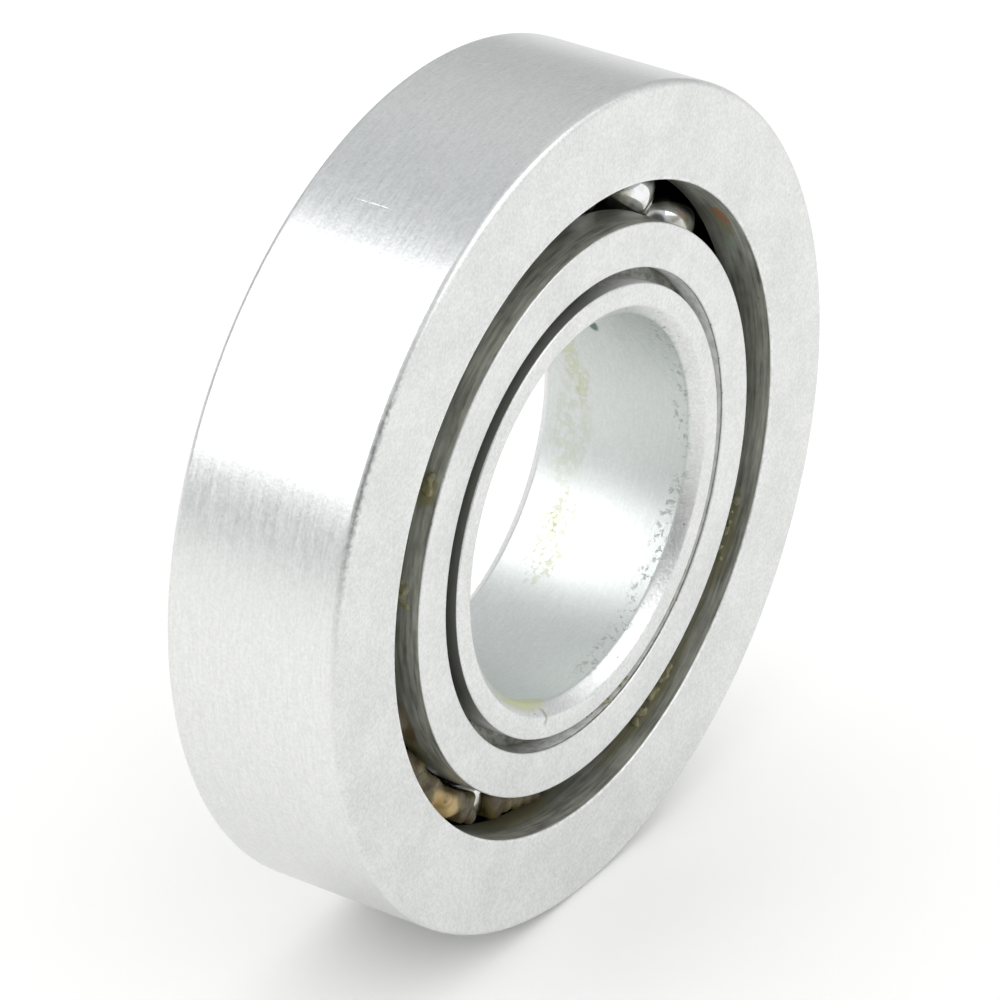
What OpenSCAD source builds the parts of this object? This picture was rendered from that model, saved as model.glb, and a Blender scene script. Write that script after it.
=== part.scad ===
// Radial ball bearing, full complement, with a split inner race on a sleeve.
//
// The outer ring is one turned piece with a deep raceway. Two race halves meet at the
// middle and make the inner raceway between them, and an inner sleeve pressed through both
// holds them together and is the bore that a shaft goes through. The balls fill the ring
// from end to end: there is no cage and there are no seals.
//
// Frame: the origin is the middle of the bearing, the axis of rotation is Y, the front
// face looks towards -Y and +Z is up, so that the bearing stands on its rim.

/* [Envelope] */
// Outside diameter of the bearing, which is 1 3/8 inch
outside_d = 34.925; // [32:0.005:40]
// Diameter of the bore, which is 5/8 inch
bore_d = 15.875; // [14:0.005:16.2]
// Width of the bearing over its outer ring
width = 7.8; // [7.2:0.1:9]

/* [Balls] */
// Diameter of a ball, which is 5/32 inch
ball_d = 3.96875; // [3.5:0.00005:4.05]
// How many balls the raceway holds
ball_count = 19; // [8:1:19]
// Diameter of the circle through the middles of the balls
pitch_d = 25.2; // [25:0.05:25.5]
// Angle of the first ball round the axis, from the top and towards +X
first_ball_angle = 14.5; // [0:0.5:19]

/* [Raceways] */
// Radius of the raceway groove, as a share of the ball's diameter
conformity = 0.53; // [0.52:0.005:0.54]
// Free space between a ball and the bottom of each raceway
ball_clearance = 0.04; // [0.03:0.005:0.08]
// Diameter of the opening in the outer ring's face
outer_land_d = 26.92; // [26.6:0.02:27.2]
// Diameter of the inner race over its shoulders
inner_land_d = 23.5; // [23.2:0.02:23.8]

/* [Inner sleeve] */
// Outside diameter of the sleeve, where the race halves are pressed on
sleeve_d = 18.66; // [18.4:0.02:18.9]
// How far each race half's face lies behind the end of the sleeve
race_recess = 0.1; // [0:0.05:0.2]
// Diameter of the groove round the sleeve's end, cut in each race half
groove_d = 19.82; // [19.5:0.02:20.2]
// Depth of that groove, from the race half's face
groove_depth = 1.1; // [0.4:0.1:1.4]

/* [Edges] */
// Radius of the outer ring's outside corners
rim_round = 0.3; // [0.1:0.05:0.5]
// Width of the chamfer at each end of the bore
bore_chamfer = 0.5; // [0.1:0.05:0.8]
// Radius of every other turned edge
edge_round = 0.08; // [0.05:0.01:0.12]

/* [Hidden] */
outside_r = outside_d / 2;
bore_r = bore_d / 2;
ball_r = ball_d / 2;
pitch_r = pitch_d / 2;
outer_land_r = outer_land_d / 2;
inner_land_r = inner_land_d / 2;
sleeve_r = sleeve_d / 2;
groove_r = groove_d / 2;

// Radius of both raceway grooves in section, and the radii at which their circles lie
raceway_r = conformity * ball_d;
outer_raceway_centre = pitch_r + ball_r + ball_clearance - raceway_r;
inner_raceway_centre = pitch_r - ball_r - ball_clearance + raceway_r;

race_half_w = width / 2 - race_recess;
ball_step = 360 / ball_count;
turned_sides = 180;
groove_sides = 72;
round_sides = 32;
spare = 1;

function ball_name(i) = str("ball_", i < 10 ? "0" : "", i);

// Turns a half section about the bearing's axis. In the section x is the radius, and y
// is the distance from the middle plane, positive towards the front face.
module turned() {
    rotate([90, 0, 0])
        rotate_extrude($fn = turned_sides)
            children();
}

// What a round of radius r removes from a square corner that lies at the origin, with
// the material towards +x and +y.
module corner_waste(r) {
    difference() {
        translate([-spare, -spare])
            square(spare + r);
        translate([r, r])
            circle(r = r, $fn = round_sides);
    }
}

// The same on a corner at [x, y], with the material towards side_x and side_y, each 1 or -1.
module corner_at(x, y, side_x, side_y, r) {
    translate([x, y])
        mirror([side_x < 0 ? 1 : 0, 0])
            mirror([0, side_y < 0 ? 1 : 0])
                corner_waste(r);
}

// Half section of a plain ring about the middle plane, with round corners inside and outside
module ring_section(inner_r, outer_r, length, inner_round, outer_round) {
    difference() {
        translate([inner_r, -length / 2])
            square([outer_r - inner_r, length]);
        for (end = [-1, 1]) {
            corner_at(inner_r, end * length / 2, 1, -end, inner_round);
            corner_at(outer_r, end * length / 2, -1, -end, outer_round);
        }
    }
}

// Section of the circle that both raceways are arcs of, at its own distance from the axis
module raceway_section(centre) {
    translate([centre, 0])
        circle(r = raceway_r, $fn = groove_sides);
}

module outer_ring() {
    color([0.78, 0.79, 0.79])
        turned()
            difference() {
                ring_section(outer_land_r, outside_r, width, edge_round, rim_round);
                raceway_section(outer_raceway_centre);
            }
}

// One half of the inner race, with its face at the front. The groove round the sleeve's
// end is cut in its face, and its other end meets the other half at the middle plane.
module race_half() {
    turned()
        difference() {
            ring_section(sleeve_r, inner_land_r, 2 * race_half_w, edge_round, edge_round);
            raceway_section(inner_raceway_centre);
            translate([sleeve_r - spare, race_half_w - groove_depth])
                square([groove_r - sleeve_r + spare, groove_depth + spare]);
            corner_at(groove_r, race_half_w, 1, -1, edge_round);
            translate([sleeve_r - spare, -race_half_w - spare])
                square([inner_land_r - sleeve_r + 2 * spare, race_half_w + spare]);
        }
}

module front_inner_race() {
    color([0.80, 0.81, 0.81])
        race_half();
}

module rear_inner_race() {
    color([0.72, 0.73, 0.73])
        mirror([0, 1, 0])
            race_half();
}

module inner_sleeve() {
    color([0.66, 0.69, 0.68])
        turned()
            difference() {
                ring_section(bore_r, sleeve_r, width, edge_round, edge_round);
                for (end = [-1, 1])
                    translate([bore_r, end * width / 2])
                        rotate(45)
                            square(bore_chamfer * sqrt(2), center = true);
            }
}

// Ball number i, counted from the first ball and towards +X over the top
module ball(i) {
    color([0.86, 0.87, 0.88])
        rotate([0, first_ball_angle + (i - 1) * ball_step, 0])
            translate([0, 0, pitch_r])
                sphere(r = ball_r, $fn = groove_sides);
}

outer_ring();
front_inner_race();
rear_inner_race();
inner_sleeve();
for (i = [1 : ball_count])
    ball(i);
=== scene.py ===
# %% [markdown]
# # A ball bearing standing on its rim
#
# The object is a radial ball bearing of the plain turned kind: a one-piece outer ring, an
# inner race in two halves pressed on a sleeve, and a full row of balls with no cage. Its
# pieces are bright zinc-plated steel outside and dark, oily steel inside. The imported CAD
# model gives every size and place, so this script starts from it and makes each piece again
# as a finer mesh with a worked-out finish.

# %% Frame
import math
import random

import bmesh
import bpy
import numpy as np
from mathutils import Matrix, Vector


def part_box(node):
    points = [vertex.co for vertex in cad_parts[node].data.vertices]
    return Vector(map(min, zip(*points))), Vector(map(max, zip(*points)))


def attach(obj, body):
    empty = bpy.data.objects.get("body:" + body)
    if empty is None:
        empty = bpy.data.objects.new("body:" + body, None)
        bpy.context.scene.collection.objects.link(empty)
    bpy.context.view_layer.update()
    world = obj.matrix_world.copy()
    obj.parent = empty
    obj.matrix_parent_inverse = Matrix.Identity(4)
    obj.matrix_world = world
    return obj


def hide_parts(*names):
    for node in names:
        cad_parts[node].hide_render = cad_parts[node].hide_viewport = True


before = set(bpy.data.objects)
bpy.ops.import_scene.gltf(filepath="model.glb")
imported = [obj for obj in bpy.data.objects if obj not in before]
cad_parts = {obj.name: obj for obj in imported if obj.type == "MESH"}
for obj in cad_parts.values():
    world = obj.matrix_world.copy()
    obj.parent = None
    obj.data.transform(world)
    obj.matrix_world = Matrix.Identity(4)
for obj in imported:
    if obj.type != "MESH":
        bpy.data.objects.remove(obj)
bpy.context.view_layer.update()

# %% [markdown]
# ## Sizes, read from the CAD model
#
# A turned piece is described by radii from the Y axis and places along it. They could be
# typed in again, but then a change to the CAD model would leave this script behind. So the
# smallest and largest radius of each node are measured from its vertices.

# %% Radii and widths
MM = 0.001


def radii(node):
    """Smallest and largest distance from the bearing's axis in one CAD node, in metres."""
    points = np.array([v.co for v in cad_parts[node].data.vertices])
    out = np.hypot(points[:, 0], points[:, 2])
    return float(out.min()), float(out.max())


land_r, outside_r = radii("outer_ring")
race_bore_r, shoulder_r = radii("front_inner_race")
bore_r, sleeve_r = radii("inner_sleeve")
half_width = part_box("outer_ring")[1].y
race_face = -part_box("front_inner_race")[0].y
sleeve_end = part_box("inner_sleeve")[1].y
BALLS = sorted(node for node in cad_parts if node.startswith("ball_"))
ball_low, ball_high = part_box(BALLS[0])
ball_r = (ball_high.y - ball_low.y) / 2
first_ball = (ball_low + ball_high) / 2
pitch_r = math.hypot(first_ball.x, first_ball.z)
print(f"outside {outside_r / MM:.3f}, opening {land_r / MM:.3f}, shoulder {shoulder_r / MM:.3f} mm")
print(f"sleeve {sleeve_r / MM:.3f}, bore {bore_r / MM:.3f}, half width {half_width / MM:.3f} mm")
print(f"{len(BALLS)} balls of radius {ball_r / MM:.3f} mm on a circle of {pitch_r / MM:.3f} mm")

# %% [markdown]
# ## Camera
#
# The bearing is looked at from its front left and from above, with a long lens, so the far
# edge of the ring is hardly smaller than the near one. A long lens also keeps the round
# openings close to true ellipses. The camera is placed by the angle of its view, and aimed
# a little beside the middle of the bearing.

# %% Camera
VIEW_AZIMUTH = math.radians(-56.12)
VIEW_ELEVATION = math.radians(29.78)
VIEW_DISTANCE = 13.36 * outside_r
VIEW_AIM = Vector((-0.43, 0.12, -0.50)) * MM
LENS = 212.6

back = Vector(
    (
        math.sin(VIEW_AZIMUTH) * math.cos(VIEW_ELEVATION),
        -math.cos(VIEW_AZIMUTH) * math.cos(VIEW_ELEVATION),
        math.sin(VIEW_ELEVATION),
    )
)
bpy.ops.object.camera_add(location=VIEW_AIM + back * VIEW_DISTANCE)
camera = bpy.context.object
camera.name = "camera"
camera.rotation_mode = "QUATERNION"
camera.rotation_quaternion = back.to_track_quat("Z", "Y")
camera.data.lens = LENS
camera.data.clip_start = 0.01
camera.data.clip_end = 10
bpy.context.scene.camera = camera
print("camera at, mm:", [round(v / MM, 1) for v in camera.location])

# %% [markdown]
# ## One class for shader maths
#
# Masks and patterns are sums and products of many small numbers. Wiring each one as a Math
# node by hand hides the formula. This class wraps a socket, and Python's own operators add
# the Math nodes, so that a formula in the code reads as a formula. Every other kind of node
# comes from the one method `node`.


# %% Shader maths
class Value:
    """A socket of a node tree, which Python's operators join to others."""

    def __init__(self, tree, socket=None):
        self.tree = tree
        self.socket = socket

    def node(self, kind, settings=None, inputs=None, output=0):
        """A new node: its settings are set first, then the values or links of its sockets."""
        made = self.tree.nodes.new(kind)
        for name, setting in (settings or {}).items():
            if name == "stops":
                self.fill_ramp(made.color_ramp, setting)
            else:
                setattr(made, name, setting)
        for name, given in (inputs or {}).items():
            if isinstance(given, Value):
                self.tree.links.new(given.socket, made.inputs[name])
            else:
                made.inputs[name].default_value = given
        return Value(self.tree, made.outputs[output])

    @staticmethod
    def fill_ramp(ramp, stops):
        """Gives a ramp its stops, each a place from 0 to 1 and a grey or a colour."""
        while len(ramp.elements) < len(stops):
            ramp.elements.new(1)
        for element, (place, shade) in zip(ramp.elements, stops):
            element.position = place
            element.color = (shade,) * 3 + (1,) if isinstance(shade, (int, float)) else (*shade, 1)

    def math(self, operation, *others, **settings):
        return self.node(
            "ShaderNodeMath", {"operation": operation, **settings}, dict(enumerate((self, *others)))
        )

    def __add__(self, other):
        return self.math("ADD", other)

    def __sub__(self, other):
        return self.math("SUBTRACT", other)

    def __mul__(self, other):
        return self.math("MULTIPLY", other)

    def __truediv__(self, other):
        return self.math("DIVIDE", other)

    def __rsub__(self, other):
        return (self * -1) + other

    __radd__ = __add__
    __rmul__ = __mul__

    def clamp(self):
        return self.math("ADD", 0, use_clamp=True)

    def between(self, low, high, soft):
        """1 where this value lies from low to high, and 0 outside, over a soft edge."""
        rise = self.step(low, soft)
        return rise * (1 - self.step(high, soft))

    def step(self, edge, soft):
        """0 below the edge and 1 above it, over a soft edge of that width."""
        return self.node(
            "ShaderNodeMapRange",
            {"interpolation_type": "SMOOTHSTEP"},
            {"Value": self, "From Min": edge - soft / 2, "From Max": edge + soft / 2},
        )

    def mix(self, under, over):
        """A colour from under to over, where this value is the share of over."""
        made = self.tree.nodes.new("ShaderNodeMix")
        made.data_type = "RGBA"
        for place, given in ((6, under), (7, over)):
            if isinstance(given, Value):
                self.tree.links.new(given.socket, made.inputs[place])
            else:
                made.inputs[place].default_value = (*given, 1)
        self.tree.links.new(self.socket, made.inputs[0])
        return Value(self.tree, made.outputs[2])


print("shader maths ready")

# %% [markdown]
# ## Coordinates that suit a turned piece
#
# A lathe leaves marks that run round the axis. A pattern that reads plain Object
# coordinates would cut straight across them. So each steel finish first works out the
# radius, the place along the axis and the direction round it, all in millimetres, and then
# feeds noise with a vector that changes slowly round the axis and quickly across the marks.


# %% Lathe coordinates
class Turned:
    """The places on a turned piece, as values of one material's tree."""

    def __init__(self, tree):
        value = Value(tree)
        place = value.node("ShaderNodeTexCoord", output=3)
        self.point = value.node(
            "ShaderNodeVectorMath", {"operation": "SCALE"}, {0: place, "Scale": 1 / MM}
        )
        split = {
            axis: value.node("ShaderNodeSeparateXYZ", inputs={0: self.point}, output=number)
            for number, axis in enumerate("xyz")
        }
        self.x, self.y, self.z = split["x"], split["y"], split["z"]
        self.radius = (self.x * self.x + self.z * self.z).math("SQRT")
        self.across = self.x / self.radius
        self.upward = self.z / self.radius

    def marks(self, fineness, length, detail=3, rough=0.6):
        """Lathe marks from 0 to 1: fineness is how many there are to the millimetre, and
        length is how far each runs round the axis, in radians."""
        line = self.radius + self.y
        vector = line.node(
            "ShaderNodeCombineXYZ",
            inputs={0: self.across / length, 1: line * fineness, 2: self.upward / length},
        )
        return self.noise(1, detail, rough, vector)

    def noise(self, scale, detail=3, rough=0.55, vector=None, warp=0.0):
        """Even noise from 0 to 1: scale is how many grains there are to the millimetre."""
        return self.x.node(
            "ShaderNodeTexNoise",
            inputs={
                "Vector": vector or self.point,
                "Scale": scale,
                "Detail": detail,
                "Roughness": rough,
                "Distortion": warp,
            },
        )

    def spots(self, scale, size, share=1.0, soft=0.05):
        """Round spots: scale is how many cells there are to the millimetre, size is a spot's
        radius as a share of its cell, and share is how many of the cells have a spot."""
        near = self.x.node("ShaderNodeTexVoronoi", inputs={"Vector": self.point, "Scale": scale})
        chance = Value(self.x.tree, near.socket.node.outputs["Color"])
        return (1 - near.step(size, soft)) * chance.math("LESS_THAN", 0.2 + 0.6 * share)

    def arc_mark(self, angle, radius, size, width):
        """A thin curl drawn on a flat face: part of a circle of this size in millimetres,
        whose middle is at an angle and a radius from the axis."""
        turn = math.radians(angle)
        right = self.x - radius * math.sin(turn)
        up = self.z - radius * math.cos(turn)
        away = ((right * right + up * up).math("SQRT") - size).math("ABSOLUTE")
        return (1 - away.step(width, width)) * (right + up * 0.5).step(0.1, 0.2)

    def patch(self, angle, y, along, across, ragged=0.0):
        """A smear round one place of a round wall: angle is in degrees from the top and
        towards +X, y is in millimetres, along and across are its half sizes in millimetres
        round the axis and along it."""
        turn = math.radians(angle)
        side = self.x * math.cos(turn) - self.z * math.sin(turn)
        facing = (self.x * math.sin(turn) + self.z * math.cos(turn)).step(0, 0.5)
        reach = (side / along) * (side / along) + ((self.y - y) / across) * ((self.y - y) / across)
        if ragged:
            reach = reach + (self.noise(2.2, 4, 0.6) - 0.5) * ragged
        return (1 - reach.step(0.8, 0.9)) * facing


print("lathe coordinates ready")

# %% [markdown]
# ## Table and light
#
# Bright metal has hardly a colour of its own: it shows the room. A white table below gives
# the frosted faces their even pale grey, and a grey room fills the rest, so that the parts
# between the bright bands turn darker.
#
# The room plays two parts. Rays that bounce off the matt table find a bright, even white,
# which lights it like a large tent and leaves only a faint shadow under the rim. Rays that
# bounce off the metal find grey walls, darker near the horizon than overhead, with one dark
# place in front where a person would stand: it draws the thin dark line along the rounded
# corners. A duller patch of ceiling sets off the white band next to it. The Light Path node
# tells the two kinds of ray apart.

# %% Room
TENT_WHITE = (1.25, 1.25, 1.24)
HORIZON_GREY = (0.54, 0.55, 0.555)
OVERHEAD_GREY = (0.80, 0.81, 0.815)
STANDING_DARK = (0.10, 0.10, 0.10)
BEAM_GREY = (0.66, 0.675, 0.69)


def towards(azimuth, elevation):
    """The direction from the bearing at these angles: azimuth 0 is straight in front."""
    a, e = math.radians(azimuth), math.radians(elevation)
    return Vector((math.sin(a) * math.cos(e), -math.cos(a) * math.cos(e), math.sin(e)))


world = bpy.data.worlds.new("room")
world.use_nodes = True
bpy.context.scene.world = world
bpy.context.scene.view_settings.view_transform = "Standard"

ray = Value(world.node_tree).node("ShaderNodeTexCoord", output="Generated")


def round_patch(walls, azimuth, elevation, edge, soft, grey):
    """The walls with a round patch of another grey: edge is the cosine of its half angle."""
    centre = {0: ray, 1: towards(azimuth, elevation)}
    near = ray.node("ShaderNodeVectorMath", {"operation": "DOT_PRODUCT"}, centre, "Value")
    return near.step(edge, soft).mix(walls, grey)


height = ray.node("ShaderNodeSeparateXYZ", inputs={0: ray}, output="Z")
walls = height.step(0.45, 0.9).mix(HORIZON_GREY, OVERHEAD_GREY)
walls = round_patch(walls, -36, 12, 0.93, 0.06, STANDING_DARK)
walls = round_patch(walls, 180, 62, 0.92, 0.10, BEAM_GREY)
off_matt = ray.node("ShaderNodeLightPath", output="Is Diffuse Ray")
seen = off_matt.mix(walls, TENT_WHITE)
world.node_tree.links.new(seen.socket, world.node_tree.nodes["Background"].inputs["Color"])
print("room of grey", HORIZON_GREY, "to", OVERHEAD_GREY)

# %% [markdown]
# ## Softboxes
#
# A softbox is a lit panel, and a mirror-like ring shows it as a white band. The large one
# behind the left shoulder lays its band across the outside and again down the bore. The
# second one, in front, draws the bright line along the upper rim. A point lamp would make
# only a small spot. The panels are turned so that their width runs round the bearing's axis,
# which keeps the ends of the bands straight, and the matt table doesn't see them.

# %% Softboxes


def softbox(name, azimuth, elevation, distance, spread, height, brightness):
    """A light panel that faces the bearing and shows only in metal. Its width runs round the
    bearing's axis, spread degrees to each side; brightness is what it shows, 1 being white."""
    away = towards(azimuth, elevation)
    round_axis = Vector((0, 1, 0)).cross(away)
    width = 2 * distance * round_axis.length * math.tan(math.radians(spread))
    round_axis.normalize()
    bpy.ops.object.light_add(type="AREA", location=away * distance)
    lamp = bpy.context.object
    lamp.name = name
    lamp.rotation_mode = "QUATERNION"
    turned = Matrix((round_axis, away.cross(round_axis), away)).transposed()
    lamp.rotation_quaternion = turned.to_quaternion()
    lamp.data.shape = "RECTANGLE"
    lamp.data.size = width
    lamp.data.size_y = height
    lamp.data.energy = brightness * math.pi * width * height
    lamp.visible_diffuse = False
    print(name, "at azimuth", azimuth, "elevation", elevation)


softbox("window_left", -130.4, 41.6, 0.9, 27, 0.48, 2.8)
softbox("window_front", 22, 36, 0.9, 28, 0.80, 1.7)

# %% [markdown]
# ## The table top
#
# A plane is enough for a plain table. Its finish is matt white, with a little slow change
# in shade, because a perfectly even white looks like no surface at all.


# %% Table
TABLE_DIM = (0.923, 0.923, 0.918)
TABLE_PALE = (0.937, 0.937, 0.932)


def new_material(name):
    """A material with a Principled shader, and its tree."""
    made = bpy.data.materials.new(name)
    made.use_nodes = True
    return made, made.node_tree, made.node_tree.nodes["Principled BSDF"]


def feed(tree, shader, **links):
    """Links values to the shader's sockets; a plain number or colour is set on the socket."""
    for name, given in links.items():
        socket = shader.inputs[name.replace("_", " ")]
        if isinstance(given, Value):
            tree.links.new(given.socket, socket)
        elif isinstance(given, tuple):
            socket.default_value = (*given, 1)
        else:
            socket.default_value = given


bpy.ops.mesh.primitive_plane_add(size=3, location=(0, 0, -outside_r))
table = bpy.context.object
table.name = "table"
bpy.ops.object.transform_apply(location=True, rotation=True, scale=True)
table_white, tree, shader = new_material("table_white")
shade = Turned(tree).noise(0.02, 3).step(0.5, 0.5)
feed(tree, shader, Base_Color=shade.mix(TABLE_DIM, TABLE_PALE), Roughness=0.6)
table.data.materials.append(table_white)
print("table at, mm:", round(-outside_r / MM, 2))

# %% [markdown]
# ## Steel finishes
#
# Three parts of the ring look different, though it is one piece of plated steel. The flat
# faces are frosted, the outside is brushed by turning, and the walls inside the opening are
# dark with oil. One material covers them all: masks worked out from the radius and from the
# depth behind the face choose the finish at each point. The alternative, a material for each
# group of faces, leaves hard lines where the finishes meet.


# %% Bump in real millimetres
def relief(height):
    """A normal that follows a height given in millimetres."""
    return height.node("ShaderNodeBump", inputs={"Strength": 1.0, "Distance": MM, "Height": height})


print("relief ready")

# %% Colours of the steel, its dirt and its rust, and of painted shade and reflection
ZINC = (0.82, 0.825, 0.82)
ZINC_DULL = (0.63, 0.64, 0.635)
PINHOLE = (0.22, 0.22, 0.21)
# painted dark reflection, for the front rim
WORN = (0.88, 0.88, 0.87)
RIM_DARK_REFLECTION = (0.34, 0.34, 0.33)
# painted shade, nearly black, deep in the raceway
RACEWAY_SHADE = (0.018, 0.018, 0.015)
OILY_DARK = (0.13, 0.135, 0.115)
OILY_PALE = (0.60, 0.61, 0.54)
BROWNED = (0.17, 0.11, 0.045)
OLIVE = (0.26, 0.24, 0.11)
RUST = (0.42, 0.17, 0.06)
VERDIGRIS = (0.20, 0.30, 0.21)
print("zinc", ZINC, "oil", OILY_DARK)

# %% Coats that the rings share


def frosted(at):
    """The pale plated coat: its colour, a fine grain from 0 to 1 and its pinholes."""
    grain = at.noise(7.5, 2, 0.6).step(0.5, 0.45)
    cloud = at.noise(0.40, 4, 0.65).step(0.5, 0.4)
    pinholes = (at.spots(1.4, 0.10, 0.12) + at.spots(3.2, 0.16, 0.10)).clamp()
    pale = (grain * 0.65 + cloud * 0.35).mix(ZINC_DULL, ZINC)
    return (pinholes * 0.7).mix(pale, PINHOLE), grain, pinholes


def oiled(at, depth):
    """The dark film that old oil leaves on the walls round the balls, streaked round the
    axis. Its pale streaks fade deeper in, and it turns nearly black in the raceway: painted shade."""
    streaks = at.marks(6.0, 0.16, 4, 0.65).step(0.5, 0.45)
    cloud = at.noise(0.7, 3, 0.6).step(0.5, 0.5)
    # Painted shade: the pale streaks fade deeper into the opening.
    pale = (streaks * 0.5 + cloud * 0.3) * (1 - depth.step(1.2, 2.0)) + streaks * 0.12
    film = pale.mix(OILY_DARK, OILY_PALE)
    # Painted shade: nearly black in the raceway.
    return depth.step(2.2, 0.5).mix(film, RACEWAY_SHADE), streaks


print("shared coats ready")

# %% Ring steel


def opening_wall(at, depth):
    """The oily wall of the opening, with olive grease low down and one spot of rust."""
    oily, _ = oiled(at, depth)
    olive = (at.patch(122, -3.0, 2.6, 0.5, 1.2) + at.patch(152, -2.9, 4.5, 0.5, 1.4)).clamp()
    murky = at.patch(-166, -2.2, 3.0, 0.7, 1.2) * 0.6
    greased = (olive * 0.5 + murky).clamp().mix(oily, OLIVE)
    haloed = (at.patch(54, -3.0, 1.1, 0.45, 0.9) * 0.7).mix(greased, OLIVE)
    green = (at.patch(61, -2.8, 0.7, 0.30, 0.9) * 0.5).mix(haloed, VERDIGRIS)
    return (at.patch(51, -3.1, 0.75, 0.36, 1.0) * 0.85).mix(green, RUST)


def ring_steel_material():
    """Plated and turned steel: frosted faces, brushed outside, dark oily walls inside."""
    made, tree, shader = new_material("ring_steel")
    at = Turned(tree)
    depth = half_width / MM - at.y.math("ABSOLUTE")
    beyond_raceway = (outside_r / MM + land_r / MM) / 2
    inside = (1 - at.radius.step(beyond_raceway, 0.2)) * depth.step(0.07, 0.06)
    on_face = 1 - depth.step(0.1, 0.1)
    plated, grain, pinholes = frosted(at)
    fine = at.marks(10.0, 0.022, 3, 0.6).step(0.5, 0.5)
    long = at.marks(6.0, 0.09, 4, 0.65).step(0.5, 0.5)
    rings = at.marks(3.0, 0.9, 3, 0.6)
    scratch = at.patch(-27, 0.7, 0.05, 0.95, 1.6) * at.noise(4.0, 2).step(0.44, 0.15) * 0.42
    brushed = (fine * 0.3 + long * 0.3 + grain * 0.4).mix(ZINC_DULL, ZINC)
    scratched = (scratch * (1 - on_face)).mix(on_face.mix(brushed, plated), WORN)
    # Painted dark reflection: a broken dark line along the left part of the front rim.
    rim = at.radius.step(outside_r / MM - 0.22, 0.2) * (0 - at.y).step(half_width / MM - 0.2, 0.16)
    left = at.across.between(-0.96, -0.74, 0.12) * at.upward.step(0.2, 0.1)
    broken = at.noise(4.5, 3, 0.7).step(0.50, 0.12)
    rim_reflected = (rim * left * broken * 0.55).mix(scratched, RIM_DARK_REFLECTION)
    lip = (1 - at.radius.step(land_r / MM + 0.12, 0.06)) * at.noise(2.4, 2).step(0.52, 0.1)
    edged = (lip * on_face * 0.6).mix(rim_reflected, WORN)
    face_height = grain * 0.005 + rings * 0.003
    side_height = long * 0.0009 + fine * 0.0004 + grain * 0.0012
    height = on_face * (face_height - pinholes * 0.01) + (1 - on_face) * side_height
    side_rough = 0.255 + fine * 0.04 + long * 0.07 + grain * 0.03
    feed(
        tree,
        shader,
        Base_Color=inside.mix(edged, opening_wall(at, depth)),
        Metallic=1.0 - inside * 0.7,
        Roughness=side_rough + on_face * (0.12 + grain * 0.04),
        Normal=relief(height - scratch * 0.01),
    )
    return made


ring_steel = ring_steel_material()
print("made", ring_steel.name)

# %% [markdown]
# ## Finish of the inner race
#
# The inner race shows three surfaces: its frosted face, the dark shoulder wall that runs
# down to the raceway, and the step round the sleeve. The wall of the step is painted pale on
# its right side, as painted light, and dark deep in its corner, as painted shade. A separate
# material for the wall would need its own faces in the mesh. A mask by radius and depth needs none.

# %% Race steel
raceway_bottom = pitch_r - ball_r


def shoulder_wall(at, depth):
    """The oily wall beside the balls, with olive and brown grease, and its streaks."""
    oily, streaks = oiled(at, depth)
    olive = at.patch(-61, -3.2, 0.8, 0.5, 1.4) + at.patch(-122, -2.1, 1.6, 0.6, 1.2)
    brown = at.patch(-113, -2.4, 1.5, 0.45, 1.0)
    greased = (brown * 0.8).mix((olive.clamp() * 0.8).mix(oily, OLIVE), BROWNED)
    pale_smear = at.patch(-32, -3.0, 1.5, 0.8, 1.8) * (0.3 + streaks * 0.7)
    return (pale_smear * 0.7).mix(greased, OILY_PALE), streaks


def race_steel_material():
    """The inner race: frosted plated face, dark shoulder wall and raceway, and an oily
    groove round the sleeve whose wall is painted paler on one side, as painted light."""
    made, tree, shader = new_material("race_steel")
    at = Turned(tree)
    depth = race_face / MM - at.y.math("ABSOLUTE")
    on_face = 1 - depth.step(0.07, 0.06)
    plated, grain, pinholes = frosted(at)
    rings = at.marks(4.0, 0.9, 3, 0.6)
    shoulder, streaks = shoulder_wall(at, depth)
    in_groove = 1 - at.radius.step(raceway_bottom / MM - 0.3, 0.1)
    crumbs = at.marks(4.0, 0.05, 3, 0.6).step(0.5, 0.3)
    # Painted light on the groove's wall: paler on its right side, but dark at its front edge and
    # deep in its corner, as painted shade.
    painted_light = at.across.step(-0.35, 0.6) * depth.step(0.12, 0.05) * (1 - depth.step(0.9, 0.4))
    dull = (crumbs * 0.35).mix(OILY_DARK, OILY_PALE)
    groove_wall = (painted_light * (0.70 + crumbs * 0.30)).mix(dull, ZINC)
    height = on_face * (grain * 0.005 + rings * 0.003) + (1 - on_face) * streaks * 0.006
    feed(
        tree,
        shader,
        Base_Color=on_face.mix(in_groove.mix(shoulder, groove_wall), plated),
        Metallic=0.3 + on_face * 0.7 - (1 - on_face) * in_groove * painted_light * 0.25,
        Roughness=0.34 + on_face * (0.06 + grain * 0.1),
        Normal=relief(height - pinholes * on_face * 0.01),
    )
    return made


race_steel = race_steel_material()
print("made", race_steel.name)

# %% [markdown]
# ## Finish of the sleeve
#
# The sleeve's ends are frosted like the other faces, and its bore is satin from the lathe.
# Grease has dried in the bore in streaks, rings and drips, and shafts have chipped the edge
# behind the front chamfer. Painting such marks on an image would need a picture file. Here
# each mark is a soft ellipse at its angle and depth, broken up by noise.

# %% Sleeve steel
SATIN = (0.61, 0.645, 0.63)
# painted shade, for the top of the bore
SATIN_SHADE = (0.47, 0.505, 0.49)
STAIN = (0.56, 0.59, 0.30)
STAIN_RIM = (0.30, 0.30, 0.20)
TEAL = (0.10, 0.16, 0.15)
NICK = (0.17, 0.17, 0.15)


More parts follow.
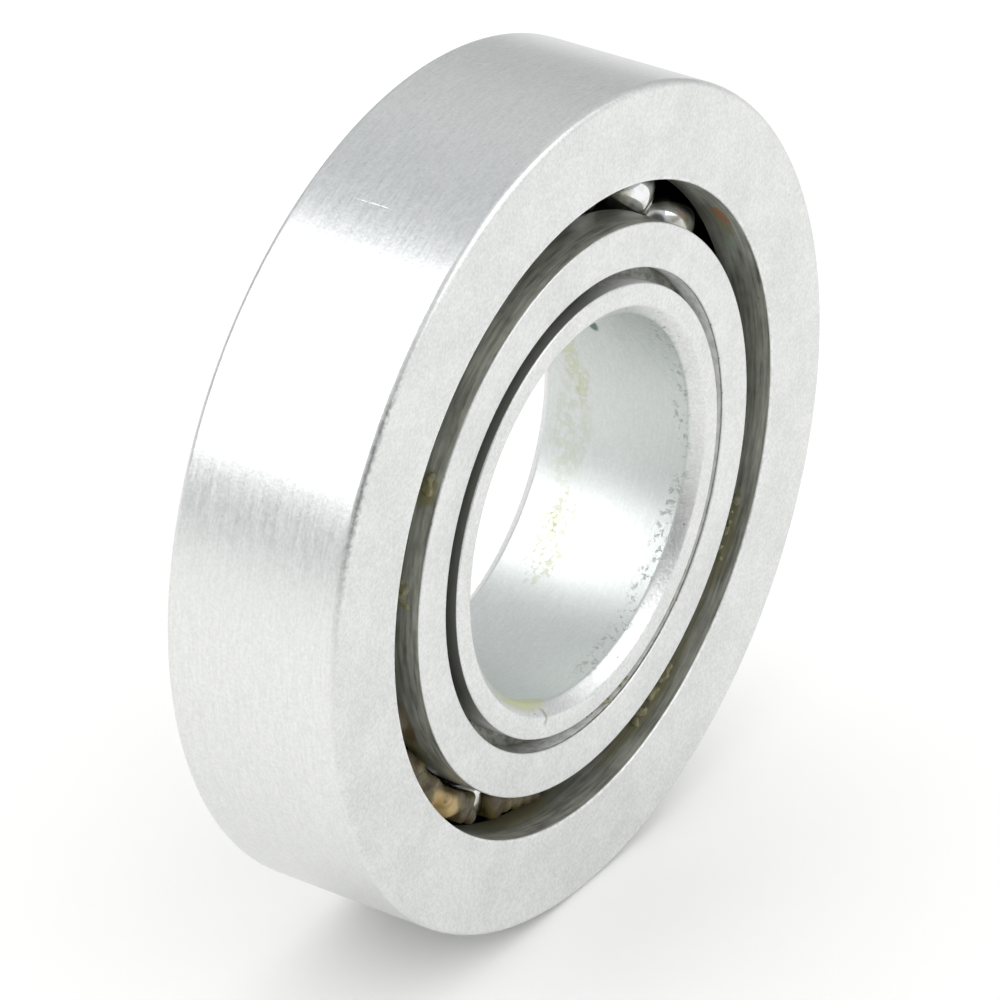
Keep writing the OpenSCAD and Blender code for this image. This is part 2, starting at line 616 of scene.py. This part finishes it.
def dried_grease(at, depth, long):
    """Old grease in the bore: how much of it there is, and how dark its rims are."""
    blots = at.noise(2.4, 4, 0.6).step(0.50, 0.15)
    crumbled = at.noise(4.5, 3, 0.6).step(0.50, 0.22)
    streak = (at.patch(77, 2.2, 1.1, 0.45, 2.2) + at.patch(86, 1.7, 0.9, 0.36, 2.2)).clamp()
    film = streak * crumbled
    haze = at.patch(102, 2.1, 2.8, 1.0, 1.6) * blots
    drips = at.patch(135, 1.6, 2.2, 0.95, 1.8) * at.noise(4.2, 2, 0.5, warp=0.6).step(0.56, 0.08)
    oil_rings = at.patch(129.2, 1.83, 0.38, 0.28, 1.2) + at.patch(134.6, 1.70, 0.30, 0.22, 1.2)
    rims = (oil_rings * (1 - oil_rings) * 2.5 + film * (1 - film) * 1.2).clamp()
    smear = at.patch(217, -3.30, 2.6, 0.50, 0.9) * (0.55 + long * 0.45) * depth.step(0.25, 0.2)
    curl = at.arc_mark(-155, 8.45, 0.50, 0.09) * (0 - at.y).step(sleeve_end / MM - 0.3, 0.1)
    stained = film * 0.5 + haze * 0.16 + drips * 0.35 + oil_rings * 0.35 + smear
    stained = stained.clamp()
    dark = rims * 0.35 + haze * 0.10 + drips * 0.20 + smear * (1 - smear) * 0.8 + curl * 0.7
    return stained, dark.clamp()


def edge_chips(at):
    """Small chips in the right half of the bore, close behind its front chamfer."""
    edge_band = (0 - at.y).between(2.70, 3.45, 0.35) * at.across.step(0.05, 0.25)
    chips = at.noise(3.4, 3, 0.65, warp=0.3).step(0.58, 0.10)
    return chips * edge_band * at.noise(1.1, 2).step(0.44, 0.15)


def sleeve_steel_material():
    """The inner sleeve: pale ends, a satin turned bore with grease stains and nicks."""
    made, tree, shader = new_material("sleeve_steel")
    at = Turned(tree)
    depth = sleeve_end / MM - at.y.math("ABSOLUTE")
    in_bore = (1 - at.radius.step(bore_r / MM + 0.15, 0.2)) * depth.step(0.45, 0.2)
    in_groove = at.radius.step(sleeve_r / MM - 0.05, 0.03) * depth.step(0.07, 0.05)
    plated, grain, _ = frosted(at)
    fine = at.marks(11.0, 0.05, 3, 0.6).step(0.5, 0.5)
    long = at.marks(7.0, 0.20, 4, 0.65).step(0.5, 0.5)
    stained, dark = dried_grease(at, depth, long)
    nicks = edge_chips(at)
    teal = at.patch(60, 0.55, 0.42, 0.26, 0.5)
    # Painted shade: the bore turns darker towards its top.
    satin = at.upward.step(0.45, 0.9).mix(SATIN, SATIN_SHADE)
    steel = (fine * 0.2 + long * 0.2 + grain * 0.25).mix(satin, ZINC)
    greasy = stained.mix(in_bore.mix(plated, steel), STAIN)
    nicked = (nicks * 0.5).mix(dark.mix(greasy, STAIN_RIM), NICK)
    spotted = (teal * 0.9).mix(nicked, TEAL)
    # Painted light on the sleeve's oily dark wall in the groove: paler on its right side,
    # underneath and near the front.
    lit_sides = at.across.step(0.2, 0.6) + (0 - at.upward).step(0.6, 0.4)
    painted_light = in_groove * (lit_sides + (1 - depth.step(0.6, 0.9)) * 0.15).clamp()
    lathe = in_bore * (long * 0.0016 + fine * 0.0008) + (1 - in_bore) * grain * 0.004
    feed(
        tree,
        shader,
        Base_Color=in_groove.mix(spotted, painted_light.mix(OILY_DARK, ZINC)),
        Metallic=1.0 - (stained + dark + nicks).clamp() * 0.6 - in_groove * 0.4,
        Roughness=0.36 + in_bore * 0.05 + fine * 0.04 + long * 0.06,
        Normal=relief(lathe + stained * 0.006 - nicks * 0.015),
    )
    return made


sleeve_steel = sleeve_steel_material()
print("made", sleeve_steel.name)

# %% [markdown]
# ## Finish of the balls
#
# The balls are the only polished pieces, under a thin, patchy film of oil. The part of each
# ball that sits deep in the outer raceway is painted black, as painted shade. The distance
# from the bearing's axis tells the two apart, and it stays true as the row goes round, so
# the painted shade never turns away from its raceway.

# %% Ball steel
POLISHED = (0.80, 0.81, 0.82)
OIL_FILM = (0.42, 0.41, 0.34)


def ball_steel_material():
    """Polished hard steel under a thin film of oil, painted black as shade where it sits in the
    outer raceway.
    """
    made, tree, shader = new_material("ball_steel")
    at = Turned(tree)
    film = at.noise(0.9, 3, 0.6).step(0.5, 0.3)
    # Painted shade: black on the part of the ball deep in the outer raceway.
    in_raceway_shade = at.radius.step(pitch_r / MM + 0.42, 0.35)
    steel = film.mix(POLISHED, OIL_FILM)
    feed(
        tree,
        shader,
        Base_Color=(in_raceway_shade * 0.92).mix(steel, RACEWAY_SHADE),
        Metallic=1.0,
        Roughness=0.06 + film * 0.14,
        Normal=relief(at.noise(2.0, 3, 0.6) * 0.002),
    )
    return made


ball_steel = ball_steel_material()
print("made", ball_steel.name)

# %% [markdown]
# ## Old grease
#
# Grease that has aged in a bearing is not one colour: where it is thick and clean it is
# golden, and where steel dust has worked into it, it turns olive and brown. It lets some
# light in, so it gets a little subsurface scattering, and a wet coat on top.

# %% Grease
GOLDEN = (0.56, 0.40, 0.17)
BROWN = (0.065, 0.040, 0.015)
DARK_OLIVE = (0.13, 0.11, 0.04)
GREY_OLIVE = (0.16, 0.16, 0.10)


def grease_material(name, light, dark, golden_at=None):
    """Aged grease: light and dark are its two colours, and golden_at is the angle, if there
    is one, round which it is still clean."""
    made, tree, shader = new_material(name)
    at = Turned(tree)
    swirl = at.noise(1.3, 4, 0.6, warp=0.8)
    lumps = at.noise(5.0, 3, 0.6)
    colour = swirl.step(0.5, 0.3).mix(light, dark)
    if golden_at is not None:
        clean = at.patch(golden_at, -2.0, 1.5, 1.2, 1.1) * swirl.step(0.40, 0.15)
        clean = clean * at.radius.step(pitch_r / MM - 0.3, 0.35)
        colour = clean.mix(colour, GOLDEN)
    feed(
        tree,
        shader,
        Base_Color=colour,
        Roughness=0.36 + lumps * 0.3,
        Coat_Weight=0.22,
        Coat_Roughness=0.12,
        Subsurface_Weight=0.12,
        Subsurface_Scale=0.3 * MM,
        Normal=relief(lumps * 0.012),
    )
    return made


ball_grease = grease_material("ball_grease", DARK_OLIVE, BROWN, -138.5)
wall_grease = grease_material("wall_grease", GREY_OLIVE, OLIVE)
print("made", ball_grease.name, wall_grease.name)

# %% [markdown]
# ## Modelling by hand, in code
#
# The operators work on what is selected, and loading the model leaves its nodes selected.
# So small helpers come first: one deselects everything, one makes a single object the
# selected one, one opens it for editing, and one selects vertices by a rule on their place.
# Places are compared with a little slack, in metres: SAME for points that ought to coincide,
# and CLOSE for the corners of an outline, which Blender keeps less exactly.


# %% Selection helpers
SAME = 1e-6
CLOSE = 5e-6


def only_nothing():
    """Deselects everything, so that a new primitive starts alone."""
    if bpy.context.object and bpy.context.object.mode == "EDIT":
        bpy.ops.object.mode_set(mode="OBJECT")
    bpy.ops.object.select_all(action="DESELECT")


def only(piece):
    """Leaves this object as the only selected one, and makes it active."""
    only_nothing()
    piece.select_set(True)
    bpy.context.view_layer.objects.active = piece


def edit(piece):
    """Opens one object for editing, with all of its mesh selected."""
    only(piece)
    bpy.ops.object.mode_set(mode="EDIT")
    bpy.ops.mesh.select_all(action="SELECT")


def pick(piece, rule):
    """Selects just the vertices whose place meets the rule, in edit mode."""
    mesh = bmesh.from_edit_mesh(piece.data)
    for vertex in mesh.verts:
        vertex.select = bool(rule(vertex.co))
    mesh.select_flush_mode()
    bmesh.update_edit_mesh(piece.data)
    return [vertex.co.copy() for vertex in mesh.verts if vertex.select]


def place(x, y):
    """A point of a half section, from its radius and its place along the axis."""
    return Vector((x, y, 0))


def is_at(point):
    return lambda co: (co - point).length < CLOSE


def apply_modifier(piece, kind, **settings):
    """Adds a modifier with these settings and applies it."""
    only(piece)
    added = piece.modifiers.new("shaping", kind)
    for name, setting in settings.items():
        setattr(added, name, setting)
    bpy.ops.object.modifier_apply(modifier=added.name)


print("selection helpers ready")

# %% [markdown]
# ## A turned ring, the way a lathe makes it
#
# The outer ring, the race halves and the sleeve are all bodies of revolution. A cylinder
# with a hole cut by a boolean would do, but it leaves long thin faces that shade badly. It
# is better to draw half of the cross-section as a thin outline, round its corners, and spin
# the outline about the axis, as a lathe tool would see it. The raceway starts as a filled
# circle, cut off at the land and left as an open arc.


# %% Section tools
TURN_STEPS = 288
ARC_STEPS = 128
EDGE_STEPS = 4
RIM_STEPS = 6
SHARP_ANGLE = math.radians(35)


def raceway_arc(name, centre, radius, cuts):
    """An open arc of the raceway's circle. Each cut is a point, and the direction of the
    side that is cut away."""
    only_nothing()
    bpy.ops.mesh.primitive_circle_add(
        vertices=ARC_STEPS, radius=radius, fill_type="NGON", location=(centre, 0, 0)
    )
    section = bpy.context.object
    section.name = name
    bpy.ops.object.transform_apply(location=True, rotation=True, scale=True)
    edit(section)
    for point, away in cuts:
        bpy.ops.mesh.select_all(action="SELECT")
        bpy.ops.mesh.bisect(plane_co=point, plane_no=away, clear_outer=True, threshold=SAME / 10)
    bpy.ops.mesh.select_all(action="SELECT")
    bpy.ops.mesh.delete(type="ONLY_FACE")
    for point, away in cuts:
        pick(section, lambda co: abs((co - point).dot(Vector(away))) < SAME)
        bpy.ops.mesh.delete(type="EDGE")
    return section


def draw_on(section, stops):
    """Draws the outline on from its vertex at the first stop, through all the others."""
    pick(section, is_at(stops[0]))
    for here, there in zip(stops, stops[1:]):
        bpy.ops.mesh.extrude_vertices_move(TRANSFORM_OT_translate={"value": there - here})
    bpy.ops.mesh.select_all(action="SELECT")
    bpy.ops.mesh.remove_doubles(threshold=CLOSE)


def round_corner(section, corner, radius, steps=EDGE_STEPS):
    """Rounds one corner of the outline with an arc of this radius."""
    pick(section, is_at(corner))
    bpy.ops.mesh.bevel(offset=radius, segments=steps, profile=0.5, affect="VERTICES")


def spin_about_axis(section):
    """Spins the outline a full turn about the bearing's axis, and closes the seam."""
    bpy.ops.mesh.select_all(action="SELECT")
    bpy.ops.mesh.spin(steps=TURN_STEPS, angle=2 * math.pi, center=(0, 0, 0), axis=(0, 1, 0))
    bpy.ops.mesh.select_all(action="SELECT")
    bpy.ops.mesh.remove_doubles(threshold=SAME)
    bpy.ops.mesh.normals_make_consistent(inside=False)
    bpy.ops.object.mode_set(mode="OBJECT")


def finish_piece(piece, material, slot, body, *nodes):
    """Smooth shading, material and body, and the CAD nodes that the piece stands for. The slot is
    not used.
    """
    only(piece)
    bpy.ops.object.shade_smooth_by_angle(angle=SHARP_ANGLE)
    apply_modifier(piece, "WEIGHTED_NORMAL", keep_sharp=True)
    piece.data.materials.clear()
    piece.data.materials.append(material)
    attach(piece, body)
    if nodes:
        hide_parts(*nodes)
    print(f"{piece.name}: {len(piece.data.polygons)} faces, rides on {body}")
    return piece


# %% [markdown]
# ## Outer ring
#
# The outer ring carries everything. Its outside corners are rounded so that it starts into
# a housing without catching, and the edges of its opening are only just broken.

# %% Outer ring
RIM_ROUND = 0.30 * MM
EDGE_ROUND = 0.08 * MM
BALL_GAP = 0.04 * MM
CONFORMITY = 0.53

raceway_r = CONFORMITY * 2 * ball_r
outer_centre = pitch_r + ball_r + BALL_GAP - raceway_r
outer_reach = math.sqrt(raceway_r**2 - (land_r - outer_centre) ** 2)

outer_ring = raceway_arc(
    "outer_ring_turned", outer_centre, raceway_r, [(place(land_r, 0), (-1, 0, 0))]
)
outer_corners = [
    place(land_r, outer_reach),
    place(land_r, half_width),
    place(outside_r, half_width),
    place(outside_r, -half_width),
    place(land_r, -half_width),
    place(land_r, -outer_reach),
]
draw_on(outer_ring, outer_corners)
for corner in outer_corners[1:5]:
    if corner.x > (land_r + outside_r) / 2:
        round_corner(outer_ring, corner, RIM_ROUND, RIM_STEPS)
    else:
        round_corner(outer_ring, corner, EDGE_ROUND)
spin_about_axis(outer_ring)
finish_piece(outer_ring, ring_steel, "ring_steel", "outer", "outer_ring")

# %% [markdown]
# ## Inner race, in two halves
#
# A one-piece inner race could not be filled with so many balls. So it is split at the middle
# of the raceway, and the halves are pushed together from both sides. Each half has a step
# turned in its face, which shows as a narrow dark groove round the sleeve.

# %% Race halves
GROOVE_R = 9.91 * MM
GROOVE_DEPTH = 1.1 * MM

inner_centre = pitch_r - ball_r - BALL_GAP + raceway_r
inner_reach = math.sqrt(raceway_r**2 - (inner_centre - shoulder_r) ** 2)
inner_bottom = inner_centre - raceway_r


def race_half(name, side, node):
    """One half of the inner race: side is -1 for the front and 1 for the rear."""
    cuts = [(place(shoulder_r, 0), (1, 0, 0)), (place(0, 0), (0, -side, 0))]
    half = raceway_arc(name, inner_centre, raceway_r, cuts)
    corners = [
        place(shoulder_r, side * inner_reach),
        place(shoulder_r, side * race_face),
        place(GROOVE_R, side * race_face),
        place(GROOVE_R, side * (race_face - GROOVE_DEPTH)),
        place(race_bore_r, side * (race_face - GROOVE_DEPTH)),
        place(race_bore_r, 0),
        place(inner_bottom, 0),
    ]
    draw_on(half, corners)
    for corner in corners[1:3]:
        round_corner(half, corner, EDGE_ROUND)
    spin_about_axis(half)
    return finish_piece(half, race_steel, "race_steel", "inner", node)


race_half("front_race_turned", -1, "front_inner_race")
race_half("rear_race_turned", 1, "rear_inner_race")

# %% [markdown]
# ## Inner sleeve
#
# The sleeve is a plain tube with a chamfer at each end of its bore, so that a shaft finds
# its way in. A plane makes its section: four corners, of which the two at the bore are cut
# off by a bevel of one segment, and then every edge that is left is broken a little.

# %% Sleeve
BORE_CHAMFER = 0.50 * MM


def tube_section(name, inner, outer, low, high):
    """The outline of a tube's wall, from its radii and its two ends, open for editing."""
    only_nothing()
    bpy.ops.mesh.primitive_plane_add(size=1, location=((inner + outer) / 2, (low + high) / 2, 0))
    section = bpy.context.object
    section.name = name
    section.scale = (outer - inner, high - low, 1)
    bpy.ops.object.transform_apply(location=True, rotation=True, scale=True)
    edit(section)
    bpy.ops.mesh.delete(type="ONLY_FACE")
    return section


sleeve = tube_section("sleeve_turned", bore_r, sleeve_r, -sleeve_end, sleeve_end)
for end in (-1, 1):
    round_corner(sleeve, place(bore_r, end * sleeve_end), BORE_CHAMFER, 1)
    round_corner(sleeve, place(bore_r, end * (sleeve_end - BORE_CHAMFER)), EDGE_ROUND)
    round_corner(sleeve, place(bore_r + BORE_CHAMFER, end * sleeve_end), EDGE_ROUND)
    round_corner(sleeve, place(sleeve_r, end * sleeve_end), EDGE_ROUND)
spin_about_axis(sleeve)
finish_piece(sleeve, sleeve_steel, "sleeve_steel", "inner", "inner_sleeve")

# %% [markdown]
# ## Balls
#
# A UV sphere has poles that pinch a reflection, and a polished ball is nothing but
# reflections. A cube cut into a fine grid and blown up to a sphere has even, four-sided
# faces all over. One ball is modelled, and each copy gets its own mesh in its own place.

# %% Balls
BALL_CUTS = 15

only_nothing()
bpy.ops.mesh.primitive_cube_add(size=2 * ball_r)
pattern_ball = bpy.context.object
edit(pattern_ball)
bpy.ops.mesh.subdivide(number_cuts=BALL_CUTS)
bpy.ops.object.mode_set(mode="OBJECT")
apply_modifier(
    pattern_ball,
    "CAST",
    cast_type="SPHERE",
    factor=1,
    use_radius_as_size=False,
    radius=0,
    size=ball_r,
)

for node in BALLS:
    low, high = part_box(node)
    ball = pattern_ball.copy()
    ball.data = pattern_ball.data.copy()
    ball.name = node + "_polished"
    bpy.context.collection.objects.link(ball)
    edit(ball)
    bpy.ops.transform.translate(value=(low + high) / 2)
    bpy.ops.object.mode_set(mode="OBJECT")
    finish_piece(ball, ball_steel, "ball_steel", "ball_set", node)
bpy.data.objects.remove(pattern_ball)

# %% [markdown]
# ## Grease between the rings
#
# A dab of grease has no outline to draw. It starts as a handful of small balls, dropped
# along an arc. A voxel remesh melts them into one skin, a cloud texture makes the skin lumpy,
# and a boolean cuts it to the room that it has between the rings. The dabs on the balls ride
# with the balls, so they keep clear of the films on the two walls as the row goes round.

# %% Grease tools
VOXEL = 0.05 * MM
SMALLEST_SKIN = 4


def scatter(start, end, count, radius, y, size, spread, seed):
    """Centres and sizes of dabs strewn along an arc: the angles are in degrees from the top
    and towards +X, and the rest is in millimetres."""
    chance = random.Random(seed)
    dabs = []
    for _ in range(count):
        turn = math.radians(chance.uniform(start, end))
        out = radius + chance.uniform(-spread, spread)
        along = y + chance.uniform(-spread, spread)
        centre = Vector((out * math.sin(turn), along, out * math.cos(turn))) * MM
        dabs.append((centre, size * chance.uniform(0.6, 1.25) * MM))
    return dabs


def drop_slivers(piece):
    """Deletes the flat slivers that a boolean can leave: an island of a closed skin has four
    faces at least, counted across the edges that join just two faces."""
    edit(piece)
    bpy.ops.mesh.quads_convert_to_tris()
    bpy.ops.mesh.remove_doubles(threshold=SAME / 100)
    mesh = bmesh.from_edit_mesh(piece.data)
    unseen = set(mesh.faces)
    slivers = []
    while unseen:
        island = [unseen.pop()]
        for face in island:
            joined = [edge for edge in face.edges if len(edge.link_faces) == 2]
            for other in {other for edge in joined for other in edge.link_faces} & unseen:
                unseen.remove(other)
                island.append(other)
        if len(island) < SMALLEST_SKIN:
            slivers += island
    bmesh.ops.delete(mesh, geom=slivers, context="FACES")
    bmesh.update_edit_mesh(piece.data)
    bpy.ops.object.mode_set(mode="OBJECT")


def grease(name, material, body, dabs, room, lumpiness=0.05, smoothing=10):
    """Melts dabs into one piece and trims it to its room, a tube's two radii and two ends in
    millimetres. Lumpiness is in millimetres too, and smoothing is how often the skin is eased."""
    only_nothing()
    added = []
    for centre, size in dabs:
        bpy.ops.mesh.primitive_ico_sphere_add(subdivisions=3, radius=size, location=centre)
        added.append(bpy.context.object)
    for dab in added:
        dab.select_set(True)
    bpy.ops.object.join()
    piece = bpy.context.object
    piece.name = name
    bpy.ops.object.transform_apply(location=True, rotation=True, scale=True)
    apply_modifier(piece, "REMESH", mode="VOXEL", voxel_size=VOXEL)
    apply_modifier(piece, "SMOOTH", factor=0.5, iterations=smoothing)
    lumpy = bpy.data.textures.new("lumpy", "CLOUDS")
    lumpy.noise_scale = 0.35 * MM
    apply_modifier(piece, "DISPLACE", texture=lumpy, strength=lumpiness * MM)
    cutter = tube_section("room_for_grease", *(side * MM for side in room))
    spin_about_axis(cutter)
    apply_modifier(piece, "BOOLEAN", operation="INTERSECT", object=cutter, solver="EXACT")
    bpy.data.objects.remove(cutter)
    drop_slivers(piece)
    only(piece)
    bpy.ops.object.shade_smooth()
    piece.data.materials.clear()
    piece.data.materials.append(material)
    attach(piece, body)
    print(f"{name}: {len(piece.data.polygons)} faces, rides on {body}")
    return piece


# %% [markdown]
# ## Grease that goes round with the balls
#
# At the lower left the balls are buried in one thick mass, golden where it is clean, with a
# second, darker one beyond the next ball. They could hang on the rings, but then the balls
# would plough through them. So they keep to the channel between the two walls, and ride with
# the row.

# %% Grease on the balls
CHANNEL = (12.00, 13.24, -3.0, -1.0)
FLOWED = {"lumpiness": 0.02, "smoothing": 60}

packed_dabs = scatter(-152, -121, 260, 12.55, -1.85, 0.40, 0.45, 3)
grease("grease_packed", ball_grease, "ball_set", packed_dabs, CHANNEL, **FLOWED)
loose_dabs = scatter(-178, -159, 140, 12.65, -1.75, 0.38, 0.40, 8)
grease("grease_loose", ball_grease, "ball_set", loose_dabs, CHANNEL, **FLOWED)

# %% [markdown]
# ## Grease on the walls and in the groove
#
# Small dabs stick to the land of the outer ring, to the shoulder of the race and in the step
# round the sleeve. Their centres lie just inside the steel, and only their tops show. Each
# film is thinner than the room that the balls' grease leaves, so nothing touches when the
# bearing turns.

# %% Grease on the walls
on_land = scatter(112, 126, 40, 13.56, -2.9, 0.17, 0.24, 11) + scatter(
    146, 160, 60, 13.56, -2.8, 0.17, 0.28, 12
)
land_room = (13.36, land_r / MM + 0.01, -3.8, -2.1)
grease("grease_on_land", wall_grease, "outer", on_land, land_room, lumpiness=0.03)
on_shoulder = scatter(-62, -58, 16, 11.64, -3.2, 0.17, 0.16, 21) + scatter(
    -84, -79, 14, 11.64, -3.0, 0.17, 0.16, 22
)
shoulder_room = (shoulder_r / MM - 0.01, 11.90, -3.8, -2.1)
grease("grease_on_shoulder", wall_grease, "inner", on_shoulder, shoulder_room, lumpiness=0.03)

# %% Grease in the groove
in_groove_dabs = scatter(125, 178, 90, 9.66, -3.45, 0.10, 0.18, 31)
groove_room = (sleeve_r / MM - 0.005, GROOVE_R / MM + 0.005, -3.72, -2.75)
grease("grease_in_groove", wall_grease, "inner", in_groove_dabs, groove_room)
